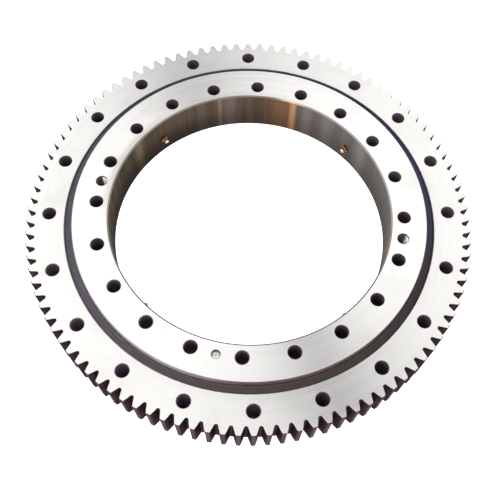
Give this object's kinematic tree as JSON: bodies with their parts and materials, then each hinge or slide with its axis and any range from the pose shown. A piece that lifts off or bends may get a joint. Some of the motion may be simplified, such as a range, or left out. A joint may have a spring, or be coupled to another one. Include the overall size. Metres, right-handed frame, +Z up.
{
  "type": "slewing ring bearing",
  "caption": "Large single-row ball slewing ring with external gear teeth, a turning inner ring, two bolt circles, lip seals and grease nipples in the bore.",
  "frame": {"origin": "centre of the outer ring's lower mounting face, on the axis of rotation", "axes": "+Z up the axis of rotation, towards the proud face of the inner ring; +Y through the middle of a gear tooth and a bolt hole of the outer ring"},
  "size_m": [0.6286, 0.6288, 0.08],
  "materials": {
    "outer_ring_steel": "satin",
    "inner_ring_steel": "satin",
    "seal_rubber": "matte",
    "plug_steel": "satin",
    "pin_steel": "polished",
    "spacer_nylon": "matte",
    "ball_steel": "polished",
    "nipple_brass": "satin",
    "spring_steel": "satin"
  },
  "bodies": {
    "geared_outer_ring": {"outer_ring": "outer_ring_steel", "upper_seal": "seal_rubber"},
    "turning_inner_ring": {"inner_ring": "inner_ring_steel", "lower_seal": "seal_rubber", "filler_plug": "plug_steel", "taper_pin": "pin_steel", "grease_nipple_1": "nipple_brass", "grease_nipple_2": "nipple_brass", "grease_nipple_3": "nipple_brass", "grease_nipple_4": "nipple_brass", "nipple_spring_1": "spring_steel", "nipple_spring_2": "spring_steel", "nipple_spring_3": "spring_steel", "nipple_spring_4": "spring_steel"},
    "ball_train": {"ball_spacers": "spacer_nylon"},
    "ball_01": {"ball_01": "ball_steel"},
    "ball_02": {"ball_02": "ball_steel"},
    "ball_03": {"ball_03": "ball_steel"},
    "ball_04": {"ball_04": "ball_steel"},
    "ball_05": {"ball_05": "ball_steel"},
    "ball_06": {"ball_06": "ball_steel"},
    "ball_07": {"ball_07": "ball_steel"},
    "ball_08": {"ball_08": "ball_steel"},
    "ball_09": {"ball_09": "ball_steel"},
    "ball_10": {"ball_10": "ball_steel"},
    "ball_11": {"ball_11": "ball_steel"},
    "ball_12": {"ball_12": "ball_steel"},
    "ball_13": {"ball_13": "ball_steel"},
    "ball_14": {"ball_14": "ball_steel"},
    "ball_15": {"ball_15": "ball_steel"},
    "ball_16": {"ball_16": "ball_steel"},
    "ball_17": {"ball_17": "ball_steel"},
    "ball_18": {"ball_18": "ball_steel"},
    "ball_19": {"ball_19": "ball_steel"},
    "ball_20": {"ball_20": "ball_steel"},
    "ball_21": {"ball_21": "ball_steel"},
    "ball_22": {"ball_22": "ball_steel"},
    "ball_23": {"ball_23": "ball_steel"},
    "ball_24": {"ball_24": "ball_steel"},
    "ball_25": {"ball_25": "ball_steel"},
    "ball_26": {"ball_26": "ball_steel"},
    "ball_27": {"ball_27": "ball_steel"},
    "ball_28": {"ball_28": "ball_steel"},
    "ball_29": {"ball_29": "ball_steel"},
    "ball_30": {"ball_30": "ball_steel"},
    "ball_31": {"ball_31": "ball_steel"},
    "ball_32": {"ball_32": "ball_steel"},
    "ball_33": {"ball_33": "ball_steel"},
    "ball_34": {"ball_34": "ball_steel"},
    "ball_35": {"ball_35": "ball_steel"},
    "ball_36": {"ball_36": "ball_steel"},
    "ball_37": {"ball_37": "ball_steel"},
    "ball_38": {"ball_38": "ball_steel"},
    "ball_39": {"ball_39": "ball_steel"},
    "ball_40": {"ball_40": "ball_steel"},
    "ball_41": {"ball_41": "ball_steel"},
    "check_ball_1": {"check_ball_1": "ball_steel"},
    "check_ball_2": {"check_ball_2": "ball_steel"},
    "check_ball_3": {"check_ball_3": "ball_steel"},
    "check_ball_4": {"check_ball_4": "ball_steel"}
  },
  "joints": [
    {"name": "inner_ring_spin", "type": "hinge", "parent": "geared_outer_ring", "child": "turning_inner_ring", "pos_m": [0, 0, 0.04], "axis": [0, 0, 1], "continuous": true},
    {"name": "ball_train_orbit", "type": "hinge", "parent": "geared_outer_ring", "child": "ball_train", "pos_m": [0, 0, 0.04], "axis": [0, 0, 1], "continuous": true},
    {"name": "ball_01_spin", "type": "hinge", "parent": "ball_train", "child": "ball_01", "pos_m": [0, 0.25, 0.04], "axis": [0, 0.7071, 0.7071], "continuous": true},
    {"name": "ball_02_spin", "type": "hinge", "parent": "ball_train", "child": "ball_02", "pos_m": [0.03816, 0.24707, 0.04], "axis": [0.1079, 0.6988, 0.7071], "continuous": true},
    {"name": "ball_03_spin", "type": "hinge", "parent": "ball_train", "child": "ball_03", "pos_m": [0.07543, 0.23835, 0.04], "axis": [0.2133, 0.6742, 0.7071], "continuous": true},
    {"name": "ball_04_spin", "type": "hinge", "parent": "ball_train", "child": "ball_04", "pos_m": [0.11093, 0.22404, 0.04], "axis": [0.3138, 0.6337, 0.7071], "continuous": true},
    {"name": "ball_05_spin", "type": "hinge", "parent": "ball_train", "child": "ball_05", "pos_m": [0.14383, 0.20448, 0.04], "axis": [0.4068, 0.5784, 0.7071], "continuous": true},
    {"name": "ball_06_spin", "type": "hinge", "parent": "ball_train", "child": "ball_06", "pos_m": [0.17336, 0.18013, 0.04], "axis": [0.4903, 0.5095, 0.7071], "continuous": true},
    {"name": "ball_07_spin", "type": "hinge", "parent": "ball_train", "child": "ball_07", "pos_m": [0.19882, 0.15156, 0.04], "axis": [0.5624, 0.4287, 0.7071], "continuous": true},
    {"name": "ball_08_spin", "type": "hinge", "parent": "ball_train", "child": "ball_08", "pos_m": [0.21963, 0.11943, 0.04], "axis": [0.6212, 0.3378, 0.7071], "continuous": true},
    {"name": "ball_09_spin", "type": "hinge", "parent": "ball_train", "child": "ball_09", "pos_m": [0.23529, 0.0845, 0.04], "axis": [0.6655, 0.239, 0.7071], "continuous": true},
    {"name": "ball_10_spin", "type": "hinge", "parent": "ball_train", "child": "ball_10", "pos_m": [0.24543, 0.0476, 0.04], "axis": [0.6942, 0.1346, 0.7071], "continuous": true},
    {"name": "ball_11_spin", "type": "hinge", "parent": "ball_train", "child": "ball_11", "pos_m": [0.24982, 0.00958, 0.04], "axis": [0.7066, 0.0271, 0.7071], "continuous": true},
    {"name": "ball_12_spin", "type": "hinge", "parent": "ball_train", "child": "ball_12", "pos_m": [0.24835, -0.02867, 0.04], "axis": [0.7024, -0.0811, 0.7071], "continuous": true},
    {"name": "ball_13_spin", "type": "hinge", "parent": "ball_train", "child": "ball_13", "pos_m": [0.24106, -0.06625, 0.04], "axis": [0.6818, -0.1874, 0.7071], "continuous": true},
    {"name": "ball_14_spin", "type": "hinge", "parent": "ball_train", "child": "ball_14", "pos_m": [0.22813, -0.10227, 0.04], "axis": [0.6452, -0.2893, 0.7071], "continuous": true},
    {"name": "ball_15_spin", "type": "hinge", "parent": "ball_train", "child": "ball_15", "pos_m": [0.20984, -0.13589, 0.04], "axis": [0.5935, -0.3844, 0.7071], "continuous": true},
    {"name": "ball_16_spin", "type": "hinge", "parent": "ball_train", "child": "ball_16", "pos_m": [0.18664, -0.16633, 0.04], "axis": [0.5279, -0.4705, 0.7071], "continuous": true},
    {"name": "ball_17_spin", "type": "hinge", "parent": "ball_train", "child": "ball_17", "pos_m": [0.15906, -0.19287, 0.04], "axis": [0.4499, -0.5455, 0.7071], "continuous": true},
    {"name": "ball_18_spin", "type": "hinge", "parent": "ball_train", "child": "ball_18", "pos_m": [0.12775, -0.21489, 0.04], "axis": [0.3613, -0.6078, 0.7071], "continuous": true},
    {"name": "ball_19_spin", "type": "hinge", "parent": "ball_train", "child": "ball_19", "pos_m": [0.09345, -0.23188, 0.04], "axis": [0.2643, -0.6558, 0.7071], "continuous": true},
    {"name": "ball_20_spin", "type": "hinge", "parent": "ball_train", "child": "ball_20", "pos_m": [0.05696, -0.24342, 0.04], "axis": [0.1611, -0.6885, 0.7071], "continuous": true},
    {"name": "ball_21_spin", "type": "hinge", "parent": "ball_train", "child": "ball_21", "pos_m": [0.01914, -0.24927, 0.04], "axis": [0.0541, -0.705, 0.7071], "continuous": true},
    {"name": "ball_22_spin", "type": "hinge", "parent": "ball_train", "child": "ball_22", "pos_m": [-0.01914, -0.24927, 0.04], "axis": [-0.0541, -0.705, 0.7071], "continuous": true},
    {"name": "ball_23_spin", "type": "hinge", "parent": "ball_train", "child": "ball_23", "pos_m": [-0.05696, -0.24342, 0.04], "axis": [-0.1611, -0.6885, 0.7071], "continuous": true},
    {"name": "ball_24_spin", "type": "hinge", "parent": "ball_train", "child": "ball_24", "pos_m": [-0.09345, -0.23188, 0.04], "axis": [-0.2643, -0.6558, 0.7071], "continuous": true},
    {"name": "ball_25_spin", "type": "hinge", "parent": "ball_train", "child": "ball_25", "pos_m": [-0.12775, -0.21489, 0.04], "axis": [-0.3613, -0.6078, 0.7071], "continuous": true},
    {"name": "ball_26_spin", "type": "hinge", "parent": "ball_train", "child": "ball_26", "pos_m": [-0.15906, -0.19287, 0.04], "axis": [-0.4499, -0.5455, 0.7071], "continuous": true},
    {"name": "ball_27_spin", "type": "hinge", "parent": "ball_train", "child": "ball_27", "pos_m": [-0.18664, -0.16633, 0.04], "axis": [-0.5279, -0.4705, 0.7071], "continuous": true},
    {"name": "ball_28_spin", "type": "hinge", "parent": "ball_train", "child": "ball_28", "pos_m": [-0.20984, -0.13589, 0.04], "axis": [-0.5935, -0.3844, 0.7071], "continuous": true},
    {"name": "ball_29_spin", "type": "hinge", "parent": "ball_train", "child": "ball_29", "pos_m": [-0.22813, -0.10227, 0.04], "axis": [-0.6452, -0.2893, 0.7071], "continuous": true},
    {"name": "ball_30_spin", "type": "hinge", "parent": "ball_train", "child": "ball_30", "pos_m": [-0.24106, -0.06625, 0.04], "axis": [-0.6818, -0.1874, 0.7071], "continuous": true},
    {"name": "ball_31_spin", "type": "hinge", "parent": "ball_train", "child": "ball_31", "pos_m": [-0.24835, -0.02867, 0.04], "axis": [-0.7024, -0.0811, 0.7071], "continuous": true},
    {"name": "ball_32_spin", "type": "hinge", "parent": "ball_train", "child": "ball_32", "pos_m": [-0.24982, 0.00958, 0.04], "axis": [-0.7066, 0.0271, 0.7071], "continuous": true},
    {"name": "ball_33_spin", "type": "hinge", "parent": "ball_train", "child": "ball_33", "pos_m": [-0.24543, 0.0476, 0.04], "axis": [-0.6942, 0.1346, 0.7071], "continuous": true},
    {"name": "ball_34_spin", "type": "hinge", "parent": "ball_train", "child": "ball_34", "pos_m": [-0.23529, 0.0845, 0.04], "axis": [-0.6655, 0.239, 0.7071], "continuous": true},
    {"name": "ball_35_spin", "type": "hinge", "parent": "ball_train", "child": "ball_35", "pos_m": [-0.21963, 0.11943, 0.04], "axis": [-0.6212, 0.3378, 0.7071], "continuous": true},
    {"name": "ball_36_spin", "type": "hinge", "parent": "ball_train", "child": "ball_36", "pos_m": [-0.19882, 0.15156, 0.04], "axis": [-0.5624, 0.4287, 0.7071], "continuous": true},
    {"name": "ball_37_spin", "type": "hinge", "parent": "ball_train", "child": "ball_37", "pos_m": [-0.17336, 0.18013, 0.04], "axis": [-0.4903, 0.5095, 0.7071], "continuous": true},
    {"name": "ball_38_spin", "type": "hinge", "parent": "ball_train", "child": "ball_38", "pos_m": [-0.14383, 0.20448, 0.04], "axis": [-0.4068, 0.5784, 0.7071], "continuous": true},
    {"name": "ball_39_spin", "type": "hinge", "parent": "ball_train", "child": "ball_39", "pos_m": [-0.11093, 0.22404, 0.04], "axis": [-0.3138, 0.6337, 0.7071], "continuous": true},
    {"name": "ball_40_spin", "type": "hinge", "parent": "ball_train", "child": "ball_40", "pos_m": [-0.07543, 0.23835, 0.04], "axis": [-0.2133, 0.6742, 0.7071], "continuous": true},
    {"name": "ball_41_spin", "type": "hinge", "parent": "ball_train", "child": "ball_41", "pos_m": [-0.03816, 0.24707, 0.04], "axis": [-0.1079, 0.6988, 0.7071], "continuous": true},
    {"name": "check_ball_1_press", "type": "slide", "parent": "turning_inner_ring", "child": "check_ball_1", "axis": [0.7501, 0.6613, 0], "range_m": [0, 0.0015], "stiffness_N_per_m": 250, "springref_m": -0.002, "deforming": ["nipple_spring_1"]},
    {"name": "check_ball_2_press", "type": "slide", "parent": "turning_inner_ring", "child": "check_ball_2", "axis": [0.6613, -0.7501, 0], "range_m": [0, 0.0015], "stiffness_N_per_m": 250, "springref_m": -0.002, "deforming": ["nipple_spring_2"]},
    {"name": "check_ball_3_press", "type": "slide", "parent": "turning_inner_ring", "child": "check_ball_3", "axis": [-0.7501, -0.6613, 0], "range_m": [0, 0.0015], "stiffness_N_per_m": 250, "springref_m": -0.002, "deforming": ["nipple_spring_3"]},
    {"name": "check_ball_4_press", "type": "slide", "parent": "turning_inner_ring", "child": "check_ball_4", "axis": [-0.6613, 0.7501, 0], "range_m": [0, 0.0015], "stiffness_N_per_m": 250, "springref_m": -0.002, "deforming": ["nipple_spring_4"]}
  ],
  "couplings": [
    {"joint": "ball_train_orbit", "follows": "inner_ring_spin", "ratio": 0.47879},
    {"joint": "ball_01_spin", "follows": "inner_ring_spin", "ratio": -8.3183},
    {"joint": "ball_02_spin", "follows": "inner_ring_spin", "ratio": -8.3183},
    {"joint": "ball_03_spin", "follows": "inner_ring_spin", "ratio": -8.3183},
    {"joint": "ball_04_spin", "follows": "inner_ring_spin", "ratio": -8.3183},
    {"joint": "ball_05_spin", "follows": "inner_ring_spin", "ratio": -8.3183},
    {"joint": "ball_06_spin", "follows": "inner_ring_spin", "ratio": -8.3183},
    {"joint": "ball_07_spin", "follows": "inner_ring_spin", "ratio": -8.3183},
    {"joint": "ball_08_spin", "follows": "inner_ring_spin", "ratio": -8.3183},
    {"joint": "ball_09_spin", "follows": "inner_ring_spin", "ratio": -8.3183},
    {"joint": "ball_10_spin", "follows": "inner_ring_spin", "ratio": -8.3183},
    {"joint": "ball_11_spin", "follows": "inner_ring_spin", "ratio": -8.3183},
    {"joint": "ball_12_spin", "follows": "inner_ring_spin", "ratio": -8.3183},
    {"joint": "ball_13_spin", "follows": "inner_ring_spin", "ratio": -8.3183},
    {"joint": "ball_14_spin", "follows": "inner_ring_spin", "ratio": -8.3183},
    {"joint": "ball_15_spin", "follows": "inner_ring_spin", "ratio": -8.3183},
    {"joint": "ball_16_spin", "follows": "inner_ring_spin", "ratio": -8.3183},
    {"joint": "ball_17_spin", "follows": "inner_ring_spin", "ratio": -8.3183},
    {"joint": "ball_18_spin", "follows": "inner_ring_spin", "ratio": -8.3183},
    {"joint": "ball_19_spin", "follows": "inner_ring_spin", "ratio": -8.3183},
    {"joint": "ball_20_spin", "follows": "inner_ring_spin", "ratio": -8.3183},
    {"joint": "ball_21_spin", "follows": "inner_ring_spin", "ratio": -8.3183},
    {"joint": "ball_22_spin", "follows": "inner_ring_spin", "ratio": -8.3183},
    {"joint": "ball_23_spin", "follows": "inner_ring_spin", "ratio": -8.3183},
    {"joint": "ball_24_spin", "follows": "inner_ring_spin", "ratio": -8.3183},
    {"joint": "ball_25_spin", "follows": "inner_ring_spin", "ratio": -8.3183},
    {"joint": "ball_26_spin", "follows": "inner_ring_spin", "ratio": -8.3183},
    {"joint": "ball_27_spin", "follows": "inner_ring_spin", "ratio": -8.3183},
    {"joint": "ball_28_spin", "follows": "inner_ring_spin", "ratio": -8.3183},
    {"joint": "ball_29_spin", "follows": "inner_ring_spin", "ratio": -8.3183},
    {"joint": "ball_30_spin", "follows": "inner_ring_spin", "ratio": -8.3183},
    {"joint": "ball_31_spin", "follows": "inner_ring_spin", "ratio": -8.3183},
    {"joint": "ball_32_spin", "follows": "inner_ring_spin", "ratio": -8.3183},
    {"joint": "ball_33_spin", "follows": "inner_ring_spin", "ratio": -8.3183},
    {"joint": "ball_34_spin", "follows": "inner_ring_spin", "ratio": -8.3183},
    {"joint": "ball_35_spin", "follows": "inner_ring_spin", "ratio": -8.3183},
    {"joint": "ball_36_spin", "follows": "inner_ring_spin", "ratio": -8.3183},
    {"joint": "ball_37_spin", "follows": "inner_ring_spin", "ratio": -8.3183},
    {"joint": "ball_38_spin", "follows": "inner_ring_spin", "ratio": -8.3183},
    {"joint": "ball_39_spin", "follows": "inner_ring_spin", "ratio": -8.3183},
    {"joint": "ball_40_spin", "follows": "inner_ring_spin", "ratio": -8.3183},
    {"joint": "ball_41_spin", "follows": "inner_ring_spin", "ratio": -8.3183}
  ]
}
